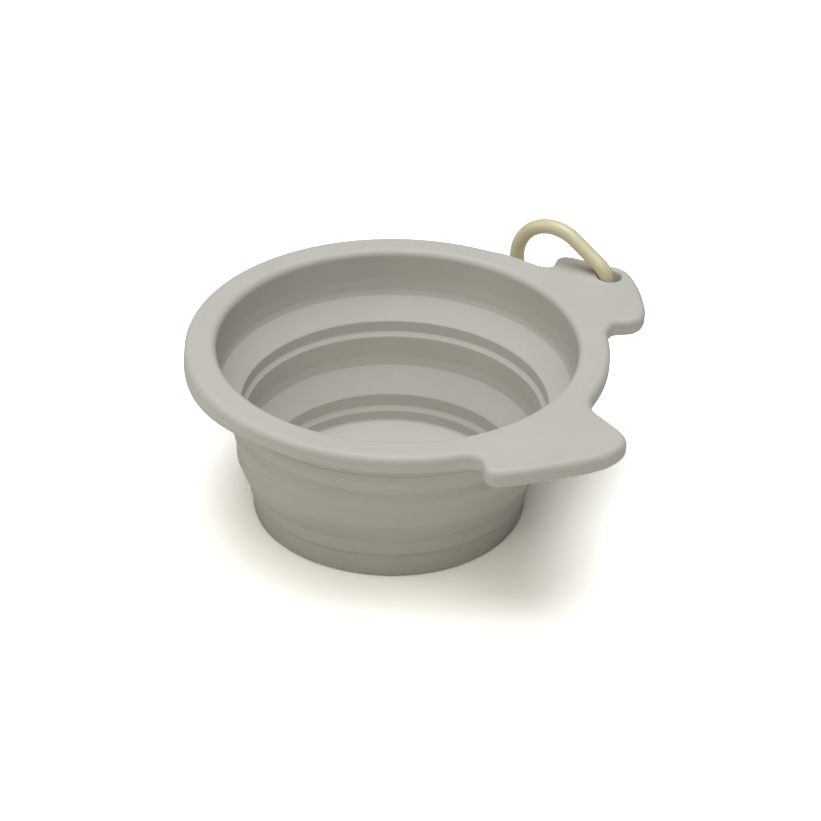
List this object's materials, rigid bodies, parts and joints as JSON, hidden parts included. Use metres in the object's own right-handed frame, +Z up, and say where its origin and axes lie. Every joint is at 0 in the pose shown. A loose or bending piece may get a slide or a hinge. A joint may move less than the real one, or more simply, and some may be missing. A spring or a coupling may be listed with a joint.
{
  "type": "collapsible pet travel bowl",
  "caption": "Round folding silicone pet bowl with stepped walls, ear-shaped rim tabs and a teardrop carabiner hung through an ear's hole.",
  "frame": {"origin": "centre of the base's flat underside, where the bowl rests on a table", "axes": "+Z up along the bowl's axis; +X runs midway between the two ear tabs; the drilled ear is on the +Y side"},
  "size_m": [0.139, 0.1348, 0.0712],
  "materials": {
    "silicone": "matt moulded silicone, warm light grey",
    "cream_coating": "satin cream powder coat",
    "bare_steel": "satin"
  },
  "bodies": {
    "base": {"base_cup": "silicone", "lower_fold": "silicone"},
    "middle": {"middle_ring": "silicone", "upper_fold": "silicone"},
    "rim": {"rim_ring": "silicone"},
    "carabiner": {"carabiner_frame": "cream_coating", "gate_rivet": "bare_steel", "nose_pin": "bare_steel"},
    "gate": {"carabiner_gate": "cream_coating", "gate_spring": "bare_steel"},
    "plunger": {"spring_plunger": "bare_steel"}
  },
  "joints": [
    {"name": "lower_fold_collapse", "type": "slide", "parent": "base", "child": "middle", "axis": [0, 0, -1], "range_m": [0, 0.017], "deforming": ["lower_fold"]},
    {"name": "upper_fold_collapse", "type": "slide", "parent": "middle", "child": "rim", "axis": [0, 0, -1], "range_m": [0, 0.018], "deforming": ["upper_fold"]},
    {"name": "carabiner_swing", "type": "hinge", "parent": "rim", "child": "carabiner", "pos_m": [0.05824, 0.05412, 0.055], "axis": [0, 0, 1], "range_deg": [-215, 6]},
    {"name": "gate_open", "type": "hinge", "parent": "carabiner", "child": "gate", "pos_m": [0.05456, 0.05574, 0.04896], "axis": [0.4035, 0.915, 0], "range_deg": [0, 25], "stiffness_Nm_per_rad": 0.01, "springref_deg": -28.65},
    {"name": "plunger_push", "type": "slide", "parent": "gate", "child": "plunger", "axis": [-0.732, 0.3228, -0.6], "range_m": [0, 0.0004], "deforming": ["gate_spring"]}
  ],
  "couplings": [
    {"joint": "plunger_push", "follows": "gate_open", "m_per_rad": 0.0008717}
  ]
}
